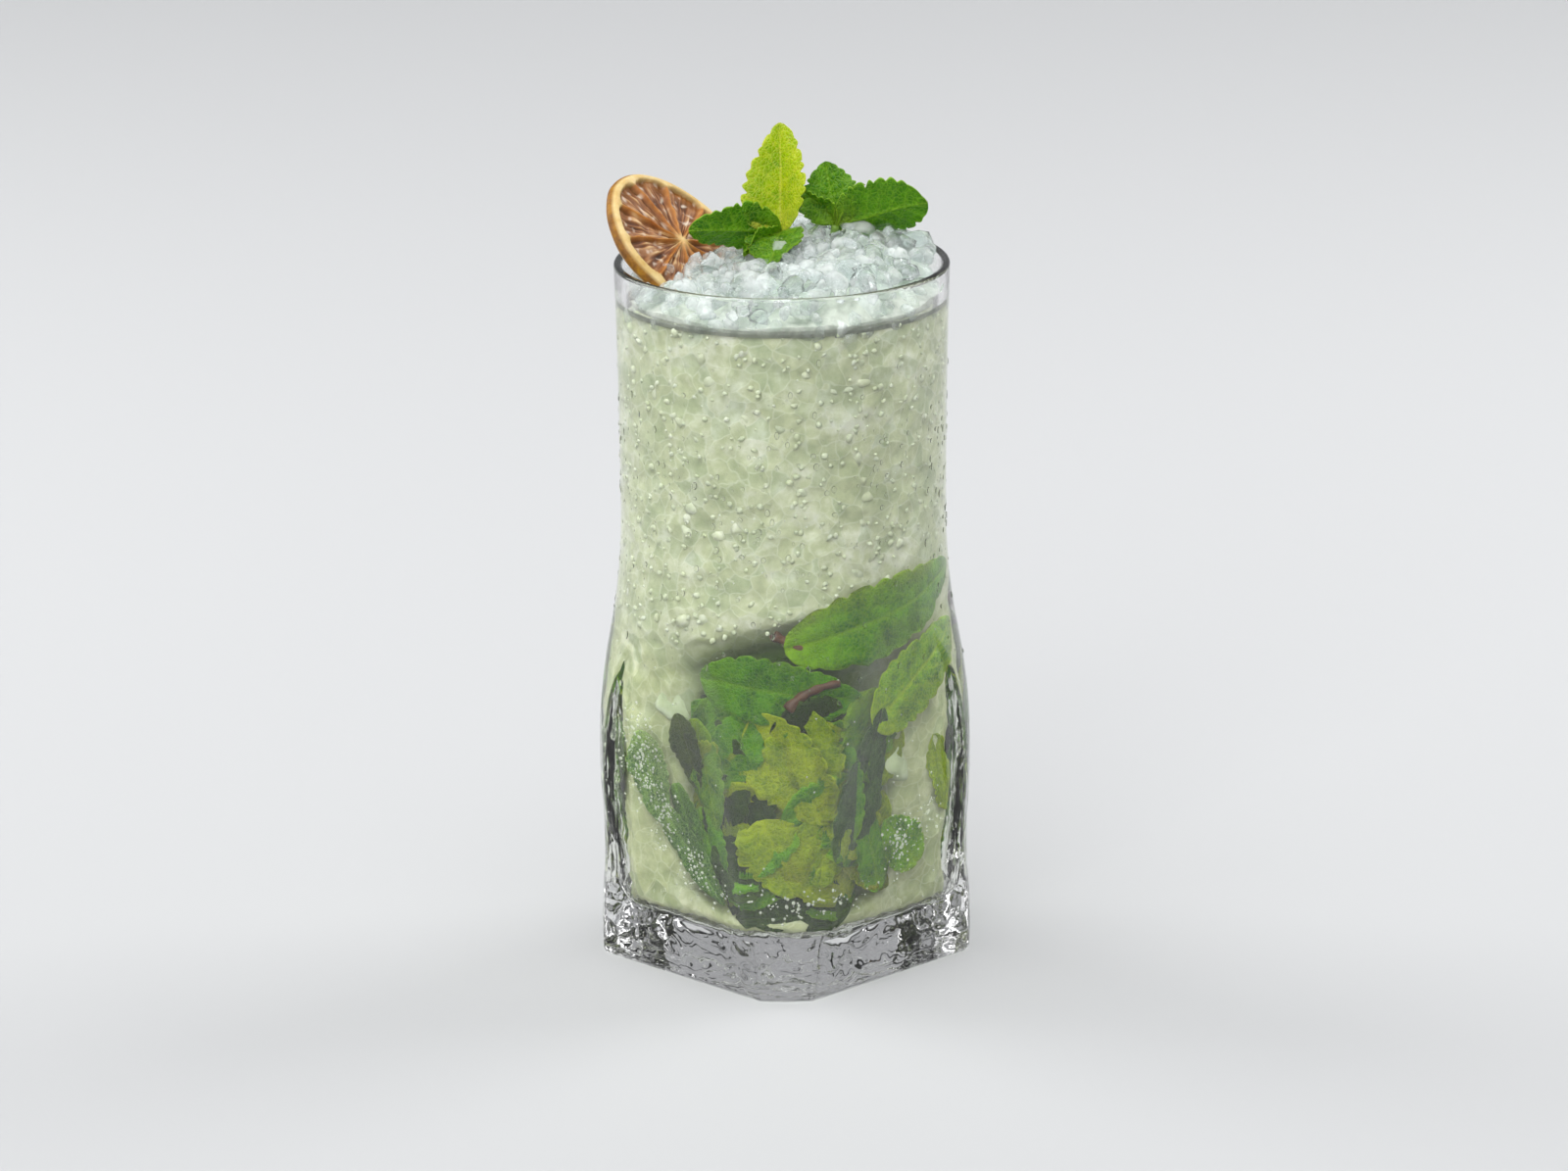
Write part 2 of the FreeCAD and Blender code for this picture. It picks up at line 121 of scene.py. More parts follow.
def make_piece(name, points, faces, material, attributes=None):
    """A mesh piece that rides on the part, with optional colours at its points."""
    mesh = bpy.data.meshes.new(name)
    points = np.asarray(points, dtype=np.float32).reshape(-1, 3)
    if isinstance(faces, np.ndarray):
        mesh.vertices.add(len(points))
        mesh.vertices.foreach_set("co", points.ravel())
        mesh.loops.add(faces.size)
        mesh.loops.foreach_set("vertex_index", faces.astype(np.int32).ravel())
        mesh.polygons.add(len(faces))
        mesh.polygons.foreach_set("loop_start", np.arange(0, faces.size, faces.shape[1], dtype=np.int32))
        mesh.update(calc_edges=True)
    else:
        mesh.from_pydata(points.tolist(), [], faces)
    mesh.polygons.foreach_set("use_smooth", np.ones(len(mesh.polygons), dtype=bool))
    for attribute, values in (attributes or {}).items():
        layer = mesh.color_attributes.new(name=attribute, type="FLOAT_COLOR", domain="POINT")
        rgba = np.ones((len(points), 4), dtype=np.float32)
        rgba[:, :3] = np.asarray(values, dtype=np.float32).reshape(-1, 3)
        layer.data.foreach_set("color", rgba.ravel())
    mesh.materials.append(material)
    piece = bpy.data.objects.new(name, mesh)
    bpy.context.scene.collection.objects.link(piece)
    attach(piece, "root")
    return piece


def grid_faces(rows, columns, start=0, closed=False, flipped=False):
    """Quads of a grid of rows by columns, closed round the columns if asked."""
    faces = []
    for row in range(rows - 1):
        for column in range(columns if closed else columns - 1):
            after = (column + 1) % columns
            here, above = start + row * columns, start + (row + 1) * columns
            quad = (here + column, here + after, above + after, above + column)
            faces.append(quad[::-1] if flipped else quad)
    return faces


def icosphere(subdivisions):
    """Points and faces of a ball of radius 1."""
    shape = bmesh.new()
    bmesh.ops.create_icosphere(shape, subdivisions=subdivisions, radius=1.0)
    points = np.array([vertex.co[:] for vertex in shape.verts])
    faces = np.array([[vertex.index for vertex in face.verts] for face in shape.faces])
    shape.free()
    return points, faces


def grain_shapes(count, subdivisions, sharpness):
    """Rounded random polyhedra, like broken pieces of ice."""
    directions, faces = icosphere(subdivisions)
    shapes = []
    for kind in range(count):
        chooser = np.random.RandomState(100 + kind)
        planes = chooser.normal(size=(12, 3))
        planes /= np.linalg.norm(planes, axis=1)[:, None]
        offsets = chooser.uniform(0.55, 1.0, size=12)
        reach = np.maximum(directions @ planes.T, 0.02) / offsets
        radius = np.minimum((reach ** sharpness).sum(axis=1) ** (-1.0 / sharpness), 1.3)
        points = directions * radius[:, None] * chooser.uniform(0.7, 1.15, size=3)
        rough = [noise.noise(Vector(point) * 2.3 + Vector((kind * 7.0, 0, 0))) for point in points]
        shapes.append((points * (1.0 + 0.10 * np.array(rough)[:, None]), faces))
    return shapes


def random_turn():
    """A turn to any direction."""
    axis = Vector((random.gauss(0, 1), random.gauss(0, 1), random.gauss(0, 1))).normalized()
    return Matrix.Rotation(random.uniform(0, 2 * math.pi), 4, axis)


def placed(centre, size, turn=None):
    """A place, a turn and a size; with no turn given, a random one."""
    return Matrix.Translation(centre) @ (turn or random_turn()) @ Matrix.Scale(size, 4)


def join_copies(shapes, placements):
    """Joins copies of small shapes; each placement is a shape index, a matrix and a tint."""
    points, faces, tints = [], [], []
    start = 0
    for index, matrix, tint in placements:
        shape_points, shape_faces = shapes[index]
        points.append(shape_points @ np.array(matrix.to_3x3()).T + np.array(matrix.translation))
        faces.append(shape_faces + start)
        tints.append(np.tile(tint, (len(shape_points), 1)))
        start += len(shape_points)
    return np.concatenate(points), np.concatenate(faces), np.concatenate(tints)


def tube(path, radius, sides=14):
    """Closed round tube along points; radius is a function of the share of its length."""
    points, faces = [], []
    count = len(path)
    for index, middle in enumerate(path):
        ahead = path[min(index + 1, count - 1)] - path[max(index - 1, 0)]
        side = ahead.cross(Vector((0.3, 1.0, 0.2))).normalized()
        other = ahead.cross(side).normalized()
        for step in range(sides):
            angle = 2 * math.pi * step / sides
            spoke = side * math.cos(angle) + other * math.sin(angle)
            points.append(middle + spoke * radius(index / (count - 1)))
    faces = grid_faces(count, sides, closed=True)
    faces.append(tuple(range(sides))[::-1])
    faces.append(tuple((count - 1) * sides + step for step in range(sides)))
    return points, faces


def curve_through(start, middle, end, count=24):
    """Points of a bent line that passes near the middle point."""
    shares = [index / (count - 1) for index in range(count)]
    return [start * (1 - t) ** 2 + middle * (2 * t * (1 - t)) + end * t ** 2 for t in shares]


# ---------------------------------------------------------------- materials

def srgb(red, green, blue):
    """Linear colour from display values of 0 to 255."""
    parts = [value / 255.0 for value in (red, green, blue)]
    linear = [part / 12.92 if part <= 0.04045 else ((part + 0.055) / 1.055) ** 2.4 for part in parts]
    return (*linear, 1.0)


class Shader:
    """A material with a Principled shader and short helpers for its nodes."""

    def __init__(self, name, **settings):
        self.material = bpy.data.materials.new(name)
        self.material.use_nodes = True
        self.nodes = self.material.node_tree.nodes
        self.links = self.material.node_tree.links
        self.principled = self.nodes["Principled BSDF"]
        self.output = self.nodes["Material Output"]
        for socket, value in settings.items():
            self.principled.inputs[socket.replace("_", " ")].default_value = value
        self.place = self.node("ShaderNodeTexCoord").outputs["Object"]

    def node(self, kind, inputs=None, **properties):
        made = self.nodes.new(kind)
        for key, value in properties.items():
            setattr(made, key, value)
        for key, value in (inputs or {}).items():
            if isinstance(value, bpy.types.NodeSocket):
                self.links.new(value, made.inputs[key])
            else:
                made.inputs[key].default_value = value
        return made

    def noise(self, scale, detail=3.0, rough=0.5):
        inputs = {"Scale": scale, "Detail": detail, "Roughness": rough, "Vector": self.place}
        return self.node("ShaderNodeTexNoise", inputs).outputs["Fac"]

    def cells(self, scale, feature="F1", output="Distance"):
        inputs = {"Scale": scale, "Vector": self.place}
        return self.node("ShaderNodeTexVoronoi", inputs, feature=feature).outputs[output]

    def bend_place(self, scale, amount):
        """Uneven coordinates, so that cells get wavy borders."""
        wave = self.node("ShaderNodeTexNoise", {"Scale": scale, "Vector": self.place}).outputs["Color"]
        shift = self.node("ShaderNodeVectorMath", {0: wave, "Scale": amount}, operation="SCALE").outputs[0]
        self.place = self.node("ShaderNodeVectorMath", {0: self.place, 1: shift}, operation="ADD").outputs[0]

    def attribute(self, name):
        return self.node("ShaderNodeAttribute", attribute_name=name).outputs["Color"]

    def masks(self, name):
        """The three values kept in a colour attribute."""
        return list(self.node("ShaderNodeSeparateColor", {"Color": self.attribute(name)}).outputs)[:3]

    def ramp(self, value, *stops):
        made = self.node("ShaderNodeValToRGB", {"Fac": value})
        elements = made.color_ramp.elements
        while len(elements) < len(stops):
            elements.new(0.5)
        for element, (position, colour) in zip(elements, stops):
            element.position = position
            element.color = colour
        return made.outputs["Color"]

    def scaled(self, value, low, high, new_low=0.0, new_high=1.0):
        inputs = {"Value": value, "From Min": low, "From Max": high, "To Min": new_low, "To Max": new_high}
        return self.node("ShaderNodeMapRange", inputs).outputs["Result"]

    def math(self, operation, first, second=0.0):
        return self.node("ShaderNodeMath", {0: first, 1: second}, operation=operation).outputs[0]

    def mix(self, factor, first, second, blend="MIX"):
        made = self.node("ShaderNodeMix", {0: factor, 6: first, 7: second}, data_type="RGBA",
                         blend_type=blend)
        return made.outputs[2]

    def tinted(self, colour):
        """Multiplied by the tint kept at each point."""
        return self.mix(1.0, colour, self.attribute("tint"), "MULTIPLY")

    def set(self, socket, value):
        self.links.new(value, self.principled.inputs[socket])

    def bump(self, height, strength, distance):
        made = self.node("ShaderNodeBump", {"Height": height, "Strength": strength, "Distance": distance})
        self.set("Normal", made.outputs["Normal"])

    def clear_to_light(self, colour):
        """Light passes through the clear piece instead of being blocked by it."""
        shadow = self.node("ShaderNodeLightPath").outputs["Is Shadow Ray"]
        through = self.node("ShaderNodeBsdfTransparent", {"Color": colour}).outputs[0]
        both = self.node("ShaderNodeMixShader", {0: shadow, 1: self.principled.outputs[0], 2: through})
        self.links.new(both.outputs[0], self.output.inputs["Surface"])


def glass_material():
    """Clear glass: cast waves where it is thick, faint mist above."""
    shader = Shader("clear_glass", Base_Color=(1, 1, 1, 1), Roughness=0.0, IOR=1.5, Transmission_Weight=1.0,
                    Specular_IOR_Level=0.25)
    height = shader.node("ShaderNodeSeparateXYZ", {0: shader.place}).outputs["Z"]
    flat = shader.node("ShaderNodeVectorMath", {0: shader.place, 1: (1.0, 1.0, 0.0)}, operation="MULTIPLY")
    reach = shader.node("ShaderNodeVectorMath", {0: flat.outputs[0]}, operation="LENGTH").outputs["Value"]
    corner = shader.math("MULTIPLY", shader.scaled(reach, 0.90 * GLASS_HIGH.x, 0.95 * GLASS_HIGH.x),
                         shader.scaled(height, 0.34 * RIM, 0.44 * RIM, 0.8, 0.0))
    foot = shader.scaled(height, FLOOR + 1.0 * MM, FLOOR + 9.0 * MM, 1.0, 0.0)
    thick = shader.math("MAXIMUM", foot, corner)
    soft = shader.math("MULTIPLY", shader.noise(30.0, 2.0), 0.12)
    shader.bend_place(60.0, 0.012)
    cast = shader.math("MULTIPLY", shader.noise(110.0, 2.0, 0.4), thick)
    shader.bump(shader.math("ADD", soft, cast), 1.0, 0.0017)
    misted = shader.scaled(height, 0.38 * RIM, 0.5 * RIM)
    patches = shader.scaled(shader.noise(260.0), 0.35, 0.6, 0.0, 0.1)
    shader.set("Roughness", shader.math("MULTIPLY", misted, patches))
    shader.clear_to_light((0.95, 0.96, 0.96, 1))
    return shader.material


def liquid_material():
    """Clear lime drink."""
    shader = Shader("lime_liquid", Base_Color=(0.97, 0.985, 0.94, 1), Roughness=0.0, IOR=1.33,
                    Transmission_Weight=1.0, Specular_IOR_Level=0.25)
    shader.bump(shader.noise(90.0, 2.0), 0.1, 0.0005)
    shader.clear_to_light((0.97, 0.985, 0.94, 1))
    return shader.material


def slush_material():
    """Cloudy drink packed with fine ice."""
    shader = Shader("slush", Roughness=0.3, Subsurface_Weight=0.35, Subsurface_Radius=(1.0, 1.0, 0.8),
                    Subsurface_Scale=0.003)
    patches = shader.math("MULTIPLY", shader.noise(90.0, 4.0, 0.6), 0.6)
    mixed = shader.math("ADD", patches, shader.math("MULTIPLY", shader.noise(380.0, 4.0, 0.65), 0.4))
    pale = shader.ramp(mixed, (0.36, srgb(176, 186, 148)), (0.5, srgb(202, 208, 172)),
                       (0.64, srgb(234, 236, 220)))
    shader.bend_place(150.0, 0.004)
    flake = shader.node("ShaderNodeSeparateColor", {0: shader.cells(240.0, "F1", "Color")}).outputs[0]
    shade = shader.ramp(flake, (0.0, srgb(232, 238, 232)), (0.5, srgb(246, 247, 240)),
                        (1.0, srgb(255, 255, 255)))
    pale = shader.mix(1.0, pale, shade, "MULTIPLY")
    border = shader.scaled(shader.cells(240.0, "DISTANCE_TO_EDGE"), 0.0, 0.05, 0.35, 0.0)
    pale = shader.mix(border, pale, srgb(238, 242, 230))
    shader.set("Base Color", shader.tinted(pale))
    shader.bump(shader.math("ADD", shader.cells(240.0), flake), 0.45, 0.0007)
    return shader.material


def slush_grain_material():
    """Cloudy grains in the drink."""
    shader = Shader("slush_grain", Roughness=0.18, IOR=1.31, Subsurface_Weight=0.4,
                    Subsurface_Radius=(1.0, 1.0, 0.9), Subsurface_Scale=0.003)
    veil = shader.noise(240.0, 4.0, 0.6)
    pale = shader.ramp(veil, (0.3, srgb(190, 199, 164)), (0.55, srgb(208, 215, 184)),
                       (0.75, srgb(234, 237, 222)))
    shader.set("Base Color", shader.tinted(pale))
    shader.bump(shader.noise(300.0, 3.0), 0.3, 0.0005)
    return shader.material


def ice_material():
    """Wet crushed ice: clear grains with cloudy white hearts."""
    shader = Shader("crushed_ice", IOR=1.31, Subsurface_Weight=0.1, Subsurface_Radius=(1.0, 1.0, 1.0),
                    Subsurface_Scale=0.004)
    shader.set("Transmission Weight", shader.scaled(shader.noise(130.0, 4.0, 0.6), 0.42, 0.66, 0.98, 0.45))
    shader.set("Roughness", shader.scaled(shader.noise(300.0, 3.0), 0.35, 0.65, 0.0, 0.16))
    shader.set("Base Color", shader.tinted(shader.ramp(shader.noise(300.0), (0.3, srgb(236, 241, 240)),
                                                       (0.7, srgb(250, 252, 251)))))
    shader.bump(shader.noise(300.0, 3.0, 0.6), 0.25, 0.0006)
    shader.clear_to_light((0.8, 0.83, 0.82, 1))
    return shader.material


def ice_core_material():
    """Ice seen deep between the grains, with greyer, darker colours as painted shade of the depth between
    them.
    """
    shader = Shader("ice_core", Roughness=0.3, Subsurface_Weight=0.5, Subsurface_Radius=(1.0, 1.0, 1.0),
                    Subsurface_Scale=0.004)
    veil = shader.noise(220.0, 4.0, 0.6)
    # Grey to pale: painted shade deep in the heap.
    shader.set("Base Color", shader.ramp(veil, (0.3, srgb(128, 140, 124)), (0.6, srgb(204, 211, 198))))
    shader.bump(shader.cells(350.0), 0.6, 0.001)
    return shader.material


def leaf_material(name, dark, light, vein_colour, vein_strength=0.7, glow=0.3, shine=0.35):
    """Mint leaf; the attribute leaf keeps masks of the veins, the edge and the way along it."""
    shader = Shader(name, Roughness=0.42, Subsurface_Weight=glow, Subsurface_Radius=(0.6, 1.0, 0.08),
                    Subsurface_Scale=0.002, Specular_IOR_Level=shine)
    vein, edge, way = shader.masks("leaf")
    shader.bend_place(500.0, 0.0012)
    net = shader.cells(1100.0, "DISTANCE_TO_EDGE")
    mottled = shader.noise(260.0, 4.0, 0.6)
    colour = shader.ramp(mottled, (0.32, dark), (0.68, light))
    fine = shader.scaled(net, 0.0, 0.12, 0.36, 0.0)
    colour = shader.mix(fine, colour, vein_colour)
    colour = shader.mix(shader.math("MULTIPLY", vein, vein_strength), colour, vein_colour)
    colour = shader.mix(shader.scaled(edge, 0.93, 1.0, 0.0, 0.4), colour, vein_colour)
    colour = shader.mix(shader.scaled(way, 0.0, 0.25, 0.45, 0.0), colour, vein_colour)
    shader.set("Base Color", shader.tinted(colour))
    shader.bump(shader.math("SUBTRACT", shader.scaled(net, 0.0, 0.3), shader.math("MULTIPLY", vein, 0.6)),
                0.5, 0.00035)
    return shader.material


def citrus_material():
    """Dried slice; attributes keep masks of its rind, pith and membranes, and of its fibres."""
    shader = Shader("dried_citrus", Roughness=0.6, Subsurface_Weight=0.1, Subsurface_Radius=(1.0, 0.5, 0.2),
                    Subsurface_Scale=0.0015)
    rind, pith, membrane = shader.masks("zones")
    fibre, depth, crystal = shader.masks("streaks")
    flesh = shader.ramp(fibre, (0.1, srgb(58, 30, 12)), (0.42, srgb(116, 66, 30)), (0.62, srgb(166, 112, 64)),
                        (0.9, srgb(232, 196, 142)))
    amber = shader.ramp(shader.noise(300.0, 4.0, 0.6), (0.3, srgb(110, 62, 8)), (0.7, srgb(172, 108, 30)))
    flesh = shader.mix(depth, flesh, amber)
    flesh = shader.mix(crystal, flesh, srgb(242, 226, 206))
    skin = shader.ramp(shader.noise(380.0, 4.0, 0.65), (0.3, srgb(164, 92, 24)), (0.7, srgb(214, 148, 66)))
    flesh = shader.mix(membrane, flesh, skin)
    cream = shader.ramp(shader.noise(260.0, 4.0, 0.6), (0.3, srgb(214, 176, 98)), (0.7, srgb(242, 216, 156)))
    flesh = shader.mix(pith, flesh, cream)
    peel = shader.ramp(shader.noise(420.0, 5.0, 0.7), (0.3, srgb(104, 62, 0)), (0.5, srgb(148, 96, 0)),
                       (0.72, srgb(188, 134, 12)))
    shader.set("Base Color", shader.mix(rind, flesh, peel))
    shader.bump(shader.noise(700.0, 4.0, 0.7), 0.5, 0.0004)
    shader.set("Roughness", shader.scaled(fibre, 0.2, 0.9, 0.7, 0.4))
    return shader.material


def stem_material(name, dark, light):
    """Mint stalk of two mixed colours."""
    shader = Shader(name, Roughness=0.45, Subsurface_Weight=0.2, Subsurface_Radius=(0.6, 1.0, 0.2),
                    Subsurface_Scale=0.002)
    shader.set("Base Color", shader.ramp(shader.noise(300.0, 4.0, 0.6), (0.3, dark), (0.7, light)))
    shader.bump(shader.noise(600.0), 0.4, 0.0004)
    return shader.material


def bubble_material():
    """Air in the drink."""
    shader = Shader("bubbles", Base_Color=(0.9, 0.93, 0.84, 1), IOR=1.15, Transmission_Weight=0.6)
    shader.set("Roughness", shader.scaled(shader.noise(900.0), 0.3, 0.7, 0.02, 0.12))
    shader.clear_to_light((0.9, 0.92, 0.88, 1))
    return shader.material


def dew_material():
    """Water on the outside of the glass."""
    shader = Shader("dew", Base_Color=(1, 1, 1, 1), IOR=1.33, Transmission_Weight=1.0)
    shader.set("Roughness", shader.scaled(shader.noise(900.0), 0.3, 0.7, 0.0, 0.04))
    shader.clear_to_light((0.97, 0.98, 0.98, 1))
    return shader.material


def floor_material():
    """One plain pale colour."""
    shader = Shader("pale_floor", Roughness=0.6, Specular_IOR_Level=0.2)
    shader.principled.inputs["Base Color"].default_value = srgb(198, 199, 200)
    return shader.material


MATERIALS = {
    "glass": glass_material(),
    "liquid": liquid_material(),
    "slush": slush_material(),
    "slush_grain": slush_grain_material(),
    "ice": ice_material(),
    "ice_core": ice_core_material(),
    "fresh_leaf": leaf_material("fresh_mint", srgb(46, 98, 0), srgb(88, 140, 4), srgb(152, 192, 50), 0.45,
                                shine=0.28),
    # Tall sprig leaf: its bright yellow-green colours are painted backlight glow; its subsurface glow is real
    # light.
    "glowing_leaf": leaf_material("painted_backlit_mint", srgb(122, 154, 0), srgb(176, 194, 10), srgb(218, 224, 90),
                                  0.5, glow=0.45, shine=0.28),
    "green_leaf": leaf_material("sunk_green_mint", srgb(34, 86, 0), srgb(90, 146, 0), srgb(138, 176, 6), 0.4,
                                shine=0.08),
    "dark_leaf": leaf_material("sunk_dark_mint", srgb(12, 32, 0), srgb(38, 64, 0), srgb(70, 94, 2), 0.3,
                               shine=0.08),
    "yellow_leaf": leaf_material("sunk_yellow_mint", srgb(86, 114, 0), srgb(142, 160, 0), srgb(178, 192, 12),
                                 0.45, shine=0.08),
    "blue_leaf": leaf_material("sunk_blue_mint", srgb(20, 46, 10), srgb(50, 82, 28), srgb(100, 130, 60), 0.35,
                               shine=0.08),
    "citrus": citrus_material(),
    "fresh_stem": stem_material("fresh_stem", srgb(96, 140, 40), srgb(150, 186, 80)),
    "brown_stem": stem_material("brown_stem", srgb(54, 28, 12), srgb(104, 62, 30)),
    "bubble": bubble_material(),
    "dew": dew_material(),
}


# ---------------------------------------------------------------- the drink

def liquid():
    """The liquid, grown just into the glass wall so that no air gap shows."""
    points = node_points("drink")
    points[:, :2] *= 1.0 + 0.15 * MM / wall(0.0, 0.5 * (FLOOR + LEVEL))
    points[:, 2] = LEVEL - (LEVEL - points[:, 2]) * (1.0 + 0.15 * MM / (LEVEL - FLOOR))
    piece = make_piece("liquid", points, node_faces("drink"), MATERIALS["liquid"])
    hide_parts("drink")


def slush_foot(azimuth):
    """Height where the packed ice ends above the sunk leaves; it rises towards +X."""
    return (0.53 + 0.03 * math.sin(azimuth) + 0.012 * math.sin(3.0 * azimuth + 1.0)) * LEVEL


def slush_share(azimuth, height):
    """0 in the clearer drink below, 1 in the packed ice above."""
    return min(max((height - slush_foot(azimuth)) / (0.05 * LEVEL) + 0.5, 0.0), 1.0)


SLUSH_DEPTH = 1.7 * MM
CLEAR_DEPTH = 8.5 * MM
MINT_BEARINGS = ((0.0, 43.0), (128.0, 36.0), (222.0, 40.0))


def mint_share(azimuth, height):
    """1 where the drink is packed with mint, 0 in the cloudy parts between."""
    turn = math.degrees(azimuth) % 360.0
    near = max(math.exp(-(((turn - middle + 180.0) % 360.0 - 180.0) / width) ** 4)
               for middle, width in MINT_BEARINGS)
    low = min(max((height - FLOOR - 3.0 * MM) / (5.0 * MM), 0.0), 1.0)
    return near * low * (1.0 - slush_share(azimuth, height))


def slush_core():
    """Cloudy heart of the drink, with relief like packed crushed ice."""
    rows, columns = 130, 240
    low, high = FLOOR + 1.0 * MM, LEVEL - 0.2 * MM
    points, tints = [], []
    for row in range(rows):
        height = low + (high - low) * row / (rows - 1)
        for column in range(columns):
            azimuth = 2 * math.pi * column / columns
            share = slush_share(azimuth, height)
            green = mint_share(azimuth, height)
            depth = SLUSH_DEPTH + (CLEAR_DEPTH - SLUSH_DEPTH) * max(green, 0.16 * (1.0 - share))
            spot = on_wall(azimuth, height, depth)
            lump = noise.noise(spot * 230.0) + 0.6 * noise.noise(spot * 560.0)
            points.append(on_wall(azimuth, height, depth - lump * 0.55 * MM))
            soft = 0.96 + 0.10 * noise.noise(spot * 70.0)
            clear = (0.98 + 0.02 * share, 0.99 + 0.01 * share, 0.84 + 0.16 * share)
            tints.append([soft * (one + (two - one) * green) for one, two in zip(clear, (0.13, 0.24, 0.03))])
    faces = grid_faces(rows, columns, closed=True)
    faces.append(tuple(range(columns))[::-1])
    faces.append(tuple((rows - 1) * columns + column for column in range(columns)))
    make_piece("slush_core", points, faces, MATERIALS["slush"], {"tint": tints})


def slush_grains():
    """Pieces of ice packed against the inside of the glass."""
    placements = []
    for size_low, size_high, count in ((1.6, 3.6, 380), (0.5, 1.3, 900)):
        for _ in range(count):
            azimuth = random.uniform(0, 2 * math.pi)
            height = random.uniform(slush_foot(azimuth) + 0.012 * LEVEL, LEVEL - 1.2 * MM)
            size = random.uniform(size_low, size_high) * MM
            centre = on_wall(azimuth, height, 0.5 * MM + size * random.uniform(1.05, 1.45))
            shade = random.gauss(1.0, 0.035)
            warm = random.uniform(-0.02, 0.02)
            placements.append((random.randrange(8), placed(centre, size * 0.92),
                               (shade + warm, shade + warm * 0.5, shade - warm)))
    points, faces, tints = join_copies(grain_shapes(8, 2, 8.0), [item for item in placements[:380]])
    make_piece("slush_grains", points, faces, MATERIALS["slush_grain"], {"tint": tints})
    points, faces, tints = join_copies(grain_shapes(8, 1, 8.0), placements[380:])
    make_piece("slush_crumbs", points, faces, MATERIALS["slush_grain"], {"tint": tints})


# ---------------------------------------------------------------- leaves

def leaf_blade(length, half_width, rows=84, columns=33, teeth=9, seed=0, folds=(14, 14), droop=0.1,
               bulge=0.35 * MM, wave=0.5 * MM, thickness=0.35 * MM, waists=(0.72, 0.72), notch_depth=0.10):
    """Mint leaf lying along X: a net of points on both faces, its faces and its masks.

    folds are the degrees by which its left and right halves are turned up.
    """
    chooser = random.Random(seed)
    shift = chooser.uniform(0, 10)
    veins = 7.0
    points, masks = [], []
    for row in range(rows):
        share = row / (rows - 1)
        wides = [half_width * math.sin(math.pi * min(share, 0.9995) ** waist) ** (0.62 + 0.5 * (0.72 - waist))
                 for waist in waists]
        for column in range(columns):
            side = 2.0 * column / (columns - 1) - 1.0
            apart = abs(side)
            hand = 0 if side > 0 else 1
            wide = wides[hand]
            tooth = share * teeth + 0.35 * hand
            uneven = 1.0 + 0.7 * math.sin(2.7 * int(tooth) + shift + 2.0 * hand)
            notch = 1.0 - (notch_depth * uneven * (1.0 - math.sin(math.pi * (tooth % 1.0) ** 1.4))
                           * min(1.0, 6.0 * share))
            rim = 1.0 + (notch - 1.0) * apart ** 4
            across = side * max(wide, 0.9 * MM * (1.0 - share)) * rim
            along = length * (share + 0.10 * apart ** 1.5 * share * (1.0 - share))
            stray = 0.25 * noise.noise(Vector((share * 5.0, side * 3.0, shift)))
            number = share * veins - 1.3 * apart ** 0.8 + stray + 20.0
            gap = (number - round(number)) * length / veins
            side_vein = (0.75 * math.exp(-(gap / (0.36 * MM)) ** 2) * (1.0 - 0.75 * apart)
                         * min(1.0, 8.0 * share))
            middle_vein = math.exp(-(across / (0.5 * MM * (1.15 - share))) ** 2)
            vein = max(side_vein * 0.8, middle_vein)
            place = Vector((along * 90.0 + shift, across * 90.0, shift))
            turned = math.radians(folds[hand])
            height = abs(across) * math.sin(turned) - droop * length * share * share
            across *= math.cos(turned)
            height += bulge * (1.0 - max(side_vein, middle_vein)) * (1.0 - apart ** 6)
            height += wave * apart ** 2 * math.sin(share * 11.0 + shift + side)
            height += 1.1 * wave * noise.noise(place)
            points.append((along, across, height))
            masks.append((vein, apart, share))
    below = [(x, y, z - thickness) for x, y, z in points]
    count = rows * columns
    faces = grid_faces(rows, columns) + grid_faces(rows, columns, start=count, flipped=True)
    for row in range(rows - 1):
        left, right = row * columns, row * columns + columns - 1
        faces.append((left, left + columns, count + left + columns, count + left))
        faces.append((right + columns, right, count + right, count + right + columns))
    for column in range(columns - 1):
        last = (rows - 1) * columns + column
        faces.append((column + 1, column, count + column, count + column + 1))
        faces.append((last, last + 1, count + last + 1, count + last))
    return points + below, faces, masks + masks


def join_leaves(name, leaves, material):
    """One piece from several leaves, each given as points, faces, masks and a tint."""
    points, faces, masks, tints = [], [], [], []
    for leaf_points, leaf_faces, leaf_masks, tint in leaves:
        start = len(points)
        points += leaf_points
        faces += [tuple(index + start for index in face) for face in leaf_faces]
        masks += leaf_masks
        tints += [tint] * len(leaf_points)
    return make_piece(name, points, faces, material, {"leaf": masks, "tint": tints})


def wall_leaf(base, tip, half_width, depths, twist=0.0, tint=(1, 1, 1), seed=0, net=(56, 23)):
    """Leaf pressed to the inside of the glass; base and tip are azimuth in degrees and height in mm."""
    turn_a, turn_b = math.radians(base[0]), math.radians(tip[0])
    low, high = base[1] * MM, tip[1] * MM
    radius = wall(0.5 * (turn_a + turn_b), 0.5 * (low + high)) - depths[0] * MM
    run, rise = (turn_b - turn_a) * radius, high - low
    length = math.hypot(run, rise)
    way, lift = run / length, rise / length
    rows, columns = net
    points, faces, masks = leaf_blade(length, half_width * MM, rows=rows, columns=columns, seed=seed,
                                      folds=(7, 7), droop=0.0, bulge=0.3 * MM, wave=0.7 * MM)
    bent = []
    for x, y, z in points:
        share = x / length
        azimuth = turn_a + (x * way + y * lift) / radius
        height = min(max(low + x * lift - y * way, FLOOR + 1.0 * MM), LEVEL - 1.0 * MM)
        depth = (depths[0] + (depths[1] - depths[0]) * share) * MM - z + twist * y
        bent.append(on_wall(azimuth, height, max(depth, 0.45 * MM)))
    return bent, faces, masks, tint


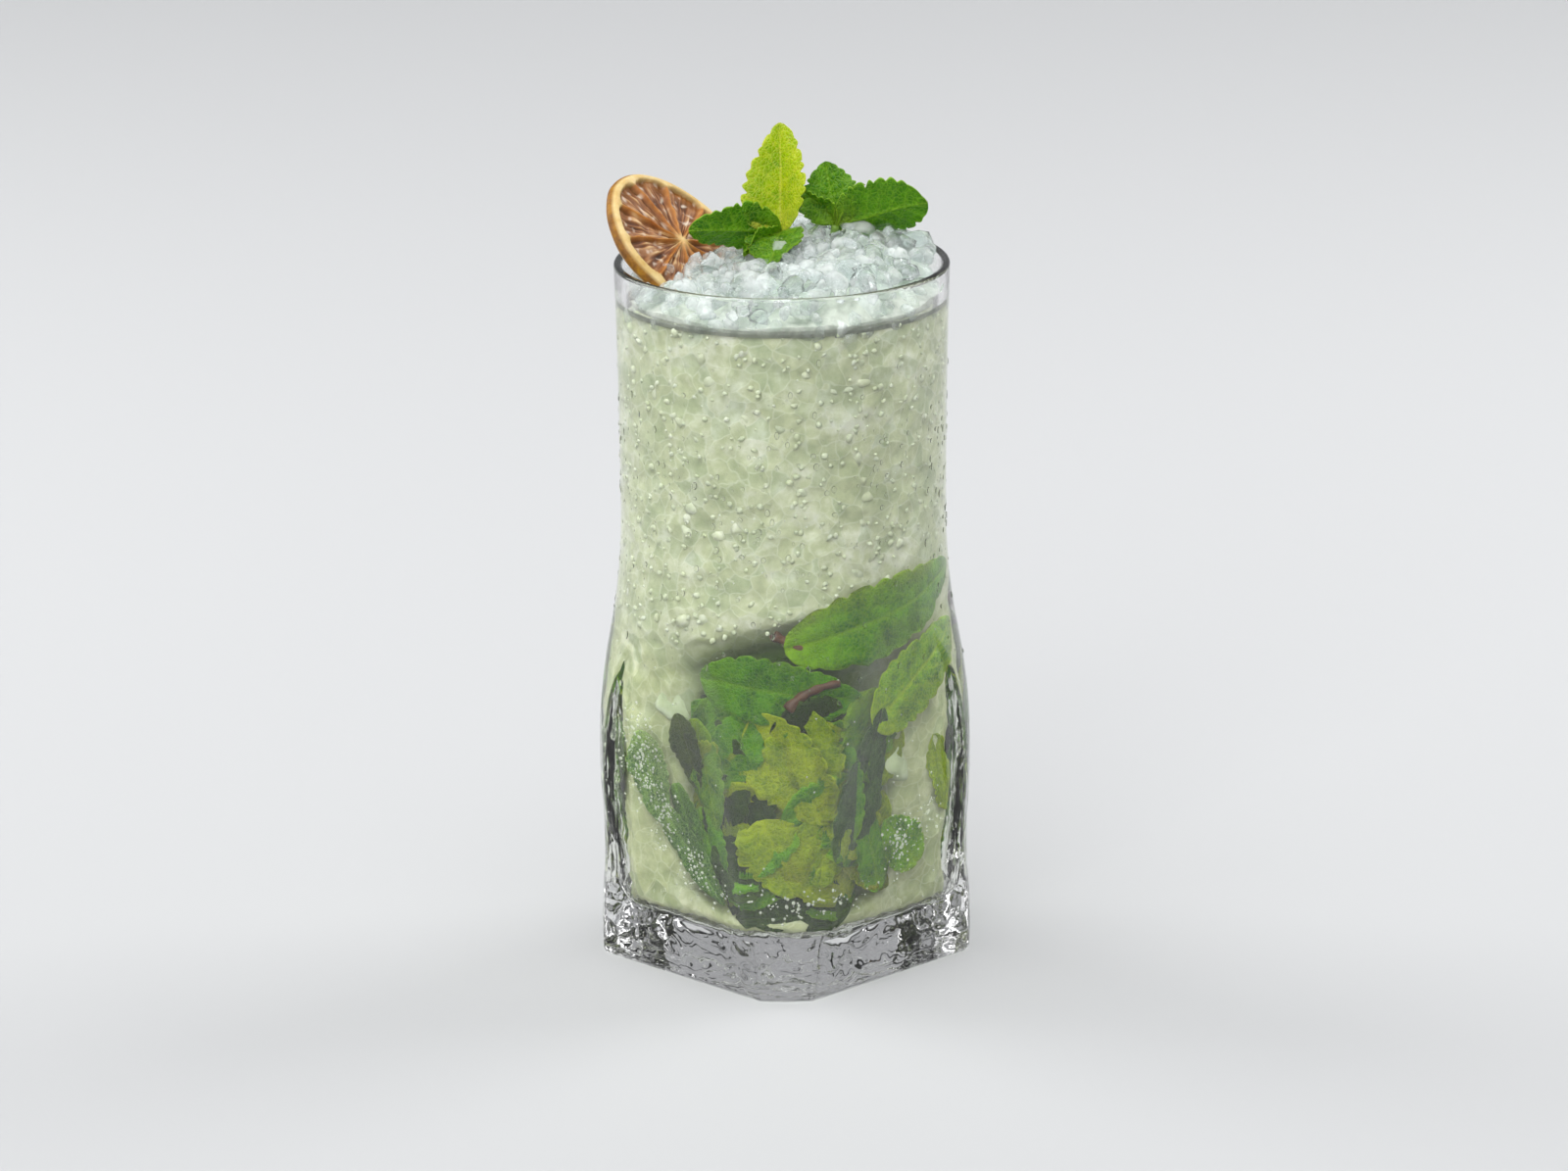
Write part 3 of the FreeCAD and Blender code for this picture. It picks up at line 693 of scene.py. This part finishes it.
# base and tip as azimuth (degrees) and height (mm), half width (mm), depths (mm), twist, tint, seed
SUNK_LEAVES = {
    "green_leaf": [
        ((0, 77), (86, 88), 8.6, (1.0, 0.8), 0.05, (1.1, 1.12, 1.0), 1),
        ((-31, 70), (28, 65), 7.4, (1.8, 2.0), 0.10, (0.72, 0.86, 0.66), 2),
        ((34, 58), (80, 76), 8.4, (1.3, 1.0), -0.1, (1.9, 1.45, 2.0), 3),
        ((-22, 46), (-10, 66), 5.6, (3.0, 2.2), 0.1, (0.8, 0.9, 0.7), 4),
        ((22, 33), (14, 60), 6.4, (2.6, 2.2), -0.2, (0.85, 0.95, 0.8), 5),
        ((62, 24), (42, 36), 6.0, (1.2, 1.2), 0.1, (1.2, 1.1, 1.2), 6),
        ((40, 20), (30, 40), 5.0, (1.8, 1.6), 0.1, (0.9, 0.95, 0.8), 13),
        ((-36, 60), (-24, 36), 5.6, (2.2, 1.8), 0.15, (1.0, 0.85, 0.5), 14),
        ((-34, 40), (-24, 20), 5.4, (2.6, 2.0), 0.1, (0.85, 0.95, 0.8), 7),
        ((104, 60), (150, 78), 7.6, (1.6, 2.0), 0.0, (0.95, 1.0, 0.9), 8),
        ((160, 44), (206, 70), 7.8, (2.0, 1.6), 0.1, (0.9, 0.98, 0.8), 9),
        ((220, 66), (268, 60), 7.2, (1.6, 1.8), 0.0, (1.05, 1.05, 1.0), 10),
        ((120, 26), (96, 48), 6.6, (2.0, 1.6), 0.1, (1.0, 1.0, 0.9), 11),
        ((252, 24), (236, 48), 6.8, (1.8, 2.4), 0.1, (0.95, 1.0, 0.85), 12),
    ],
    "yellow_leaf": [
        ((-14, 62), (15, 39), 8.4, (2.4, 2.0), 0.12, (1.0, 1.0, 1.0), 21),
        ((-8, 40), (3, 22), 7.2, (2.2, 1.8), -0.15, (0.95, 1.0, 0.9), 22),
        ((14, 44), (12, 24), 5.4, (2.4, 2.0), 0.2, (0.92, 0.98, 0.8), 23),
        ((176, 56), (186, 26), 8.0, (2.2, 2.0), 0.1, (0.95, 1.0, 0.9), 24),
        ((84, 34), (70, 52), 6.0, (2.0, 2.6), 0.1, (0.95, 1.02, 0.9), 25),
    ],
    "dark_leaf": [
        ((-30, 62), (-18, 36), 6.4, (4.2, 3.2), 0.2, (1.0, 1.0, 1.0), 31),
        ((-16, 34), (18, 20), 6.2, (4.6, 3.6), 0.1, (1.1, 1.1, 1.0), 32),
        ((26, 66), (30, 40), 6.6, (5.0, 4.0), -0.2, (0.9, 1.0, 0.9), 33),
        ((2, 74), (-2, 46), 7.6, (6.0, 5.0), 0.1, (0.8, 0.9, 0.8), 34),
        ((-26, 30), (24, 34), 8.0, (7.0, 6.4), 0.0, (0.9, 1.0, 0.8), 35),
        ((-46, 60), (-34, 44), 4.6, (1.6, 1.8), 0.1, (1.3, 1.0, 0.9), 36),
        ((-10, 22), (-28, 32), 4.6, (2.0, 1.6), 0.1, (1.1, 1.15, 0.9), 37),
        ((140, 66), (128, 34), 7.0, (4.0, 3.4), 0.1, (1.0, 1.0, 0.9), 38),
        ((214, 30), (170, 24), 6.6, (3.0, 3.4), 0.1, (1.0, 1.1, 0.9), 39),
        ((276, 50), (262, 30), 6.2, (2.0, 2.4), 0.0, (1.0, 1.0, 0.9), 40),
        ((200, 74), (240, 78), 6.4, (2.6, 2.2), 0.0, (1.1, 1.1, 1.0), 41),
        ((24, 18), (-16, 17), 5.0, (3.4, 3.0), 0.0, (1.1, 1.15, 0.9), 42),
    ],
    "blue_leaf": [
        ((20, 28), (39, 62), 6.4, (1.8, 1.4), 0.12, (1.0, 1.0, 1.0), 51),
        ((-66, 54), (-56, 34), 6.4, (0.9, 1.1), 0.1, (3.2, 2.6, 3.4), 52),
        ((-56, 38), (-22, 19), 4.4, (1.0, 1.0), 0.1, (2.4, 2.2, 2.4), 53),
        ((-48, 44), (-34, 26), 4.4, (1.6, 1.4), 0.2, (1.6, 1.7, 1.0), 55),
        ((92, 58), (112, 40), 5.6, (1.8, 2.4), 0.1, (1.0, 1.1, 1.0), 54),
    ],
}


def packed_leaves():
    """Leaves pressed together behind those at the wall, lying every way."""
    packed = {material: [] for material in ("green_leaf", "yellow_leaf", "dark_leaf")}
    for middle, width in MINT_BEARINGS:
        for count in range(56 if middle == 0.0 else 38):
            turn = middle + random.uniform(-0.9, 0.9) * width
            height = random.uniform(22.0, 62.0)
            way = random.uniform(0.0, 2.0 * math.pi)
            reach = random.uniform(8.0, 13.0)
            swing = math.degrees(reach * MM * math.cos(way) / wall(math.radians(turn), height * MM))
            rise = reach * math.sin(way)
            depth = random.uniform(2.6, 6.4)
            shade = random.uniform(0.65, 1.1)
            tint = (shade * random.uniform(0.9, 1.1), shade, shade * 0.8)
            material = random.choice(("green_leaf", "green_leaf", "yellow_leaf", "yellow_leaf", "dark_leaf"))
            packed[material].append(wall_leaf((turn - swing, max(height - rise, 16.5)),
                                              (turn + swing, min(max(height + rise, 16.5), 72.0)),
                                              random.uniform(5.5, 9.0), (depth, depth + random.uniform(-1, 1)),
                                              random.uniform(-0.25, 0.25), tint, 100 + count, (30, 11)))
    return packed


def sunk_leaves():
    """Leaves at the wall, with the pressed ones behind them."""
    packed = packed_leaves()
    for material, leaves in SUNK_LEAVES.items():
        blades = [wall_leaf(*values) for values in leaves]
        join_leaves("sunk_" + material, blades + packed.get(material, []), MATERIALS[material])


def sunk_stems():
    """Brown stems pressed to the front of the glass among the leaves."""
    stems = (((-4, 80), (3, 78), (12, 75), 1.0), ((1, 64), (8, 69), (20, 69), 1.1),
             ((150, 70), (165, 60), (172, 46), 1.1))
    points, faces = [], []
    for start, middle, end, radius in stems:
        spots = [on_wall(math.radians(turn), height * MM, 1.6 * MM) for turn, height in (start, middle, end)]
        path = curve_through(*spots)
        stem_points, stem_faces = tube(path, lambda share: radius * MM * (1.15 - 0.45 * share)
                                       * (1.0 + 0.12 * math.sin(share * 23.0)))
        faces += [tuple(index + len(points) for index in face) for face in stem_faces]
        points += stem_points
    make_piece("sunk_stems", points, faces, MATERIALS["brown_stem"])


def pale_chunks():
    """Larger clear lumps of ice low in the drink."""
    spots = ((57, 46, 7.6), (-52, 64, 5.4), (170, 84, 5.0), (268, 40, 6.0))
    placements = []
    for turn, height, size in spots:
        centre = on_wall(math.radians(turn), height * MM, size * 0.95 * MM + 0.6 * MM)
        placements.append((random.randrange(6), placed(centre, size * MM * 0.95), (0.84, 0.9, 0.8)))
    points, faces, tints = join_copies(grain_shapes(6, 4, 7.0), placements)
    make_piece("ice_lumps", points, faces, MATERIALS["slush_grain"], {"tint": tints})


def bubbles():
    """Air bubbles caught on the leaves at the sides and scattered along the wall."""
    # azimuth (degrees), height (mm), spread (degrees), tall (mm), count
    clusters = ((-64, 47, 9, 9, 150), (-54, 35, 7, 6, 60), (-38, 26, 9, 5, 60), (52, 30, 7, 6, 70),
                (66, 34, 5, 5, 30),
                (0, 21, 30, 3, 60), (262, 44, 12, 8, 90), (130, 50, 16, 12, 80), (190, 40, 20, 14, 90))
    placements = []
    for turn, height, spread, tall, count in clusters:
        for _ in range(count + count // 2):
            azimuth = math.radians(random.gauss(turn, spread * 0.6))
            level = (random.gauss(height, tall * 0.6)) * MM
            if FLOOR + 1.5 * MM < level < LEVEL - 3 * MM:
                size = random.choice((0.12, 0.16, 0.2, 0.26, 0.38)) * MM
                centre = on_wall(azimuth, level, size * 0.9 + 0.25 * MM)
                placements.append((0, placed(centre, size), (1, 1, 1)))
    for _ in range(160):
        level = random.uniform(FLOOR + 2 * MM, LEVEL - 3 * MM)
        size = random.uniform(0.1, 0.28) * MM
        centre = on_wall(random.uniform(0, 2 * math.pi), level, size + 0.2 * MM)
        placements.append((0, placed(centre, size), (1, 1, 1)))
    points, faces, _ = join_copies([icosphere(2)], placements)
    make_piece("bubbles", points, faces, MATERIALS["bubble"])


# ---------------------------------------------------------------- the crushed ice

def before_slice(point):
    """True where a thing would hide the face of the citrus slice."""
    return WHEEL_TREE.ray_cast(point, Vector((0.0, 0.96, -0.28)), 0.035)[0] is not None


def ice_heap():
    """Loose grains over the mouth, on a smaller core."""
    core = node_points("ice_heap")
    core[:, :2] *= 0.955
    rise = np.clip((core[:, 2] - LEVEL) / (4.0 * MM), 0.0, 1.0)
    core[:, 2] -= 5.5 * MM * rise
    for point in core:
        if before_slice(Vector(point)):
            point[2] = min(point[2], RIM - 5.0 * MM)
    # The core carries painted shade of the depth between the loose grains.
    piece = make_piece("ice_core", core, node_faces("ice_heap"), MATERIALS["ice_core"])
    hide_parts("ice_heap")

    placements = []
    mouth = wall(0.0, LEVEL)
    for _ in range(9000):
        if len(placements) >= 230:
            break
        size = random.choice((1.8, 2.6, 3.2, 3.8, 4.4, 5.0)) * MM
        reach = math.sqrt(random.random()) * (mouth - size * 0.95)
        angle = random.uniform(0, 2 * math.pi)
        spot = Vector((reach * math.cos(angle), reach * math.sin(angle), RIM + 0.03))
        hit = HEAP_TREE.ray_cast(spot, -UP)[0]
        if hit is None:
            continue
        centre = hit - UP * size * random.uniform(0.5, 1.1)
        if WHEEL_TREE.find_nearest(centre)[3] < size * 0.9:
            continue
        centre.z -= 2.4 * MM * min(max(-centre.x / (14.0 * MM), 0.0), 1.0)
        if before_slice(centre + UP * size):
            size = min(size, 3.0 * MM)
            centre.z = min(centre.z, RIM - size + 0.6 * MM)
        if any((centre - other.translation).length < (size + other.to_scale().x) * 0.5
               for _, other, _ in placements):
            continue
        shade = random.uniform(0.94, 1.0)
        placements.append((random.randrange(10), placed(centre, size), (shade, shade, shade)))
    for step in range(80):
        size = random.uniform(1.6, 3.4) * MM
        azimuth = 2 * math.pi * (step + random.random()) / 80
        centre = outward(azimuth) * (mouth - size * 1.02)
        centre.z = random.uniform(LEVEL - 2.0 * MM, RIM - 3.4 * MM)
        if WHEEL_TREE.find_nearest(centre)[3] > size * 0.9:
            placements.append((random.randrange(10), placed(centre, size), (0.97, 0.98, 0.97)))
    points, faces, tints = join_copies(grain_shapes(10, 2, 9.0), placements)
    make_piece("ice_grains", points, faces, MATERIALS["ice"], {"tint": tints})


# ---------------------------------------------------------------- the mint sprigs

# crown (mm across, mm back, mm over the rim), root (mm across, mm back), leaves:
# azimuth, rise, roll (degrees), length, half width (mm), droop, folds (degrees), waists, material, seed
SPRIGS = {
    "mint_sprig_left": ((-0.2, 1.0, 5.6), (-2.0, 5.0), (
        # The first leaf takes the mint colours with painted backlight glow.
        (88, 75, 14, 23.6, 9.2, 0.07, (8, 66), (0.5, 0.9), "glowing_leaf", 61),
        (194, 8, 62, 20.6, 6.8, 0.08, (16, 16), (0.72, 0.72), "fresh_leaf", 62),
        (258, -14, 8, 12.4, 6.8, 0.10, (16, 16), (0.72, 0.72), "fresh_leaf", 63),
        (214, -16, 30, 10.5, 4.2, 0.05, (40, 30), (0.72, 0.72), "fresh_leaf", 68))),
    "mint_sprig_right": ((11.6, 6.5, 6.0), (8.0, 9.0), (
        (160, 31, 52, 12.6, 5.2, 0.07, (16, 16), (0.72, 0.72), "fresh_leaf", 64),
        (120, 72, -30, 13.8, 7.3, 0.04, (18, 18), (0.62, 0.62), "fresh_leaf", 65),
        (-5, 17, -64, 20.6, 8.8, 0.06, (12, 12), (0.85, 0.85), "fresh_leaf", 66),
        (52, 43, -30, 11.8, 3.6, 0.07, (16, 16), (0.72, 0.72), "fresh_leaf", 67))),
}


def sprig_leaf(crown, azimuth, rise, roll, length, half_width, droop, folds, waists, seed):
    """Leaf that grows from the crown of a sprig."""
    turn, lift = math.radians(azimuth), math.radians(rise)
    along = Vector((math.cos(turn) * math.cos(lift), math.sin(turn) * math.cos(lift), math.sin(lift)))
    face = Matrix.Rotation(math.radians(roll), 3, along) @ (UP - along * UP.dot(along)).normalized()
    across = face.cross(along)
    points, faces, masks = leaf_blade(length * MM, half_width * MM, rows=82, columns=37, seed=seed,
                                      folds=folds, droop=droop, waists=waists, notch_depth=0.12)
    return [crown + along * x + across * y + face * z for x, y, z in points], faces, masks


def mint_sprigs():
    """The fresh leaves and stalks on top."""
    for node, (crown, root, leaves) in SPRIGS.items():
        top = Vector((crown[0] * MM, crown[1] * MM, RIM + crown[2] * MM))
        foot = Vector((root[0] * MM, root[1] * MM, RIM - 14.0 * MM))
        middle = (top + foot) * 0.5 + Vector((0, 1.15 * MM, 0))
        points, faces = tube(curve_through(foot, middle, top), lambda share: (1.25 - 0.35 * share) * MM)
        stem = make_piece(node + "_stem", points, faces, MATERIALS["fresh_stem"])
        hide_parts(node)
        for material in ("fresh_leaf", "glowing_leaf"):
            blades = []
            for *pose, kind, seed in leaves:
                if kind == material:
                    blades.append((*sprig_leaf(top, *pose, seed), (1, 1, 1)))
            if blades:
                join_leaves(node + "_" + material, blades, MATERIALS[material])


# ---------------------------------------------------------------- the dried citrus slice

SEGMENTS = 10


def citrus_slice():
    """Dried slice: shrunken flesh between raised membranes inside a curled ring of pith and rind."""
    cloud = node_points("citrus_wheel")
    low, high = [Vector(corner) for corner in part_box("citrus_wheel")]
    centre = (low + high) * 0.5
    spread = cloud - np.array(centre)
    normal = Vector(np.linalg.svd(spread, full_matrices=False)[2][2])
    normal = normal if normal.z > 0 else -normal
    downhill = -(UP - normal * UP.dot(normal)).normalized()
    side = normal.cross(downhill)
    radius = float(np.max(np.linalg.norm(spread, axis=1))) + 0.3 * MM
    centre += (UP * 0.5 - side) * 0.5 * MM
    half = 1.7 * MM
    ring = radius - 2.5 * MM
    rows, columns = 60, 380
    points, zones, streaks = [], [], []
    for face in (1.0, -1.0):
        for row in range(rows):
            share = (row / (rows - 1)) ** 0.85
            for column in range(columns):
                angle = 2 * math.pi * column / columns
                local = Vector((math.cos(angle), math.sin(angle), 0.0)) * share * radius
                reach = local.length
                wobble = 0.035 * noise.noise(Vector((math.cos(angle), math.sin(angle), 0)) * 2.4)
                sector = angle / (2 * math.pi) * SEGMENTS + 0.10 * noise.noise(local * 160.0)
                apart = abs(sector - round(sector)) / SEGMENTS * 2 * math.pi * reach
                wide = (0.32 + 0.3 * (reach / ring) ** 2) * MM
                membrane = math.exp(-(apart / wide) ** 2)
                swell = 0.7 * MM * math.exp(-(apart / (1.5 * MM)) ** 2)
                pith = min(max((reach - ring + swell) / (0.5 * MM), 0.0), 1.0)
                heart = math.exp(-(reach / (2.0 * MM)) ** 2)
                inside = 1.0 - pith
                fibre = 0.5 + 0.5 * noise.noise(Vector((math.cos(angle) * 20.0, math.sin(angle) * 20.0,
                                                        reach * 150.0 + face)))
                wrinkle = noise.noise(Vector((local.x * 420.0, local.y * 420.0, 3.0 * face)))
                sunk = (1.0 - membrane) * (1.0 - heart) * inside
                height = half - 1.15 * MM * sunk + (0.45 * (fibre - 0.5) + 0.35 * wrinkle) * sunk * 1.4 * MM
                height += 0.25 * MM * membrane * inside * noise.noise(local * 500.0)
                edge = min(max((reach - ring) / (radius - ring), 0.0), 1.0)
                height -= (half - 0.25 * MM) * max(edge - 0.35, 0.0) ** 2 / 0.65 ** 2 * 0.9
                curl = 0.55 * MM * (reach / radius) ** 2 * math.sin(2.0 * angle + 0.6)
                stretch = 1.0 + wobble * 0.5
                points.append(centre + (downhill * local.x + side * local.y) * stretch
                              + normal * (face * height + curl))
                rind = min(max((edge - 0.72) / 0.12, 0.0), 1.0)
                zones.append((rind, max(pith, heart * 0.8), membrane * inside))
                shade = min(max((reach - 0.72 * ring) / (0.28 * ring), 0.0), 1.0) * inside * (1.0 - membrane)
                crystal = max(0.0, noise.noise(local * 700.0 + Vector((5, 1, 2))) - 0.25) * 1.8 * sunk
                streaks.append((fibre + 0.25 * wrinkle, shade ** 2 * 0.9, min(crystal, 1.0)))
    front = grid_faces(rows, columns, closed=True)
    back = grid_faces(rows, columns, start=rows * columns, closed=True, flipped=True)
    edge = []
    outer, under = (rows - 1) * columns, (2 * rows - 1) * columns
    for column in range(columns):
        after = (column + 1) % columns
        edge.append((outer + column, outer + after, under + after, under + column))
    piece = make_piece("citrus_slice", points, front + back + edge, MATERIALS["citrus"],
                       {"zones": zones, "streaks": streaks})
    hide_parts("citrus_wheel")


# ---------------------------------------------------------------- dew on the glass

def dew():
    """Fine drops all round the outside of the glass, thickest below the ice."""
    shape, faces = icosphere(2)
    placements = []
    for _ in range(1100):
        azimuth = random.uniform(0.0, 2.0 * math.pi)
        height = random.triangular(0.36 * RIM, 0.93 * RIM, 0.75 * RIM)
        out = outward(azimuth)
        hit, normal = GLASS_TREE.ray_cast(Vector((0, 0, height)) + out * 0.1, -out)[:2]
        size = random.choice((0.14, 0.17, 0.2, 0.25, 0.32, 0.5)) * MM
        turn = normal.to_track_quat("Z", "Y").to_matrix().to_4x4()
        flat = Matrix.Diagonal((random.uniform(0.9, 1.3), random.uniform(0.9, 1.8), 0.45, 1.0))
        placements.append((0, Matrix.Translation(hit) @ turn @ flat @ Matrix.Scale(size, 4), (1, 1, 1)))
    points, faces, _ = join_copies([(shape, faces)], placements)
    make_piece("dew", points, faces, MATERIALS["dew"])


# ---------------------------------------------------------------- floor, lights and camera

def floor():
    """Plain floor just under the glass."""
    mesh = bpy.data.meshes.new("floor")
    reach = 6.0
    mesh.from_pydata([(-reach, -reach, 0), (reach, -reach, 0), (reach, reach, 0), (-reach, reach, 0)], [],
                     [(0, 1, 2, 3)])
    mesh.materials.append(floor_material())
    ground = bpy.data.objects.new("floor", mesh)
    bpy.context.scene.collection.objects.link(ground)
    ground.location.z = GLASS_LOW.z - 0.0002


def softbox(name, place, width, height, power):
    """Soft rectangular lamp turned to the middle of the drink; it lights everything alike."""
    light = bpy.data.lights.new(name, "AREA")
    light.shape = "RECTANGLE"
    light.size, light.size_y = width, height
    light.energy = power
    lamp = bpy.data.objects.new(name, light)
    lamp.location = place
    lamp.rotation_euler = (HEART - Vector(place)).to_track_quat("-Z", "Y").to_euler()
    bpy.context.scene.collection.objects.link(lamp)


def lights():
    """Plain studio: a wide soft light from above, a softbox at each side, one in front and grey walls."""
    sky = bpy.data.lights.new("sky_panel", "SUN")
    sky.angle = math.radians(60)
    sky.energy = 1.7
    lamp = bpy.data.objects.new("sky_panel", sky)
    lamp.rotation_euler = (math.radians(18), math.radians(-8), 0)
    bpy.context.scene.collection.objects.link(lamp)
    for side in (-1.0, 1.0):
        softbox("side_softbox", (side * 0.85, 0.45, 0.75), 0.6, 1.1, 6.5)
    softbox("front_softbox", (-0.5, -1.9, 1.3), 1.2, 0.9, 14.0)
    world = bpy.data.worlds.new("grey_studio")
    world.use_nodes = True
    world.node_tree.nodes["Background"].inputs["Color"].default_value = srgb(154, 155, 157)
    bpy.context.scene.world = world


def camera():
    """A long lens, slightly above the drink and turned to its middle."""
    elevation, distance, tilt = math.radians(16.0), 1.668, math.radians(-0.4)
    data = bpy.data.cameras.new("camera")
    data.sensor_width = 36.0
    data.lens = 177.0
    data.clip_end = 50.0
    eye = bpy.data.objects.new("camera", data)
    aim = Vector((0, 0, 0.53 * RIM))
    place = aim + Vector((0.0, -math.cos(elevation), math.sin(elevation))) * distance
    eye.matrix_world = (Matrix.Translation(place) @ Matrix.Rotation(math.radians(90) - elevation, 4, "X")
                        @ Matrix.Rotation(tilt, 4, "Z"))
    bpy.context.scene.collection.objects.link(eye)
    bpy.context.scene.camera = eye


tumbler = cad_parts["glass_tumbler"]
tumbler.material_slots[0].link = "OBJECT"
tumbler.material_slots[0].material = MATERIALS["glass"]
liquid()
slush_core()
slush_grains()
sunk_leaves()
sunk_stems()
pale_chunks()
bubbles()
ice_heap()
mint_sprigs()
citrus_slice()
dew()
floor()
lights()
camera()
bpy.context.scene.view_settings.view_transform = "Standard"
bpy.context.scene.cycles.transparent_max_bounces = 24
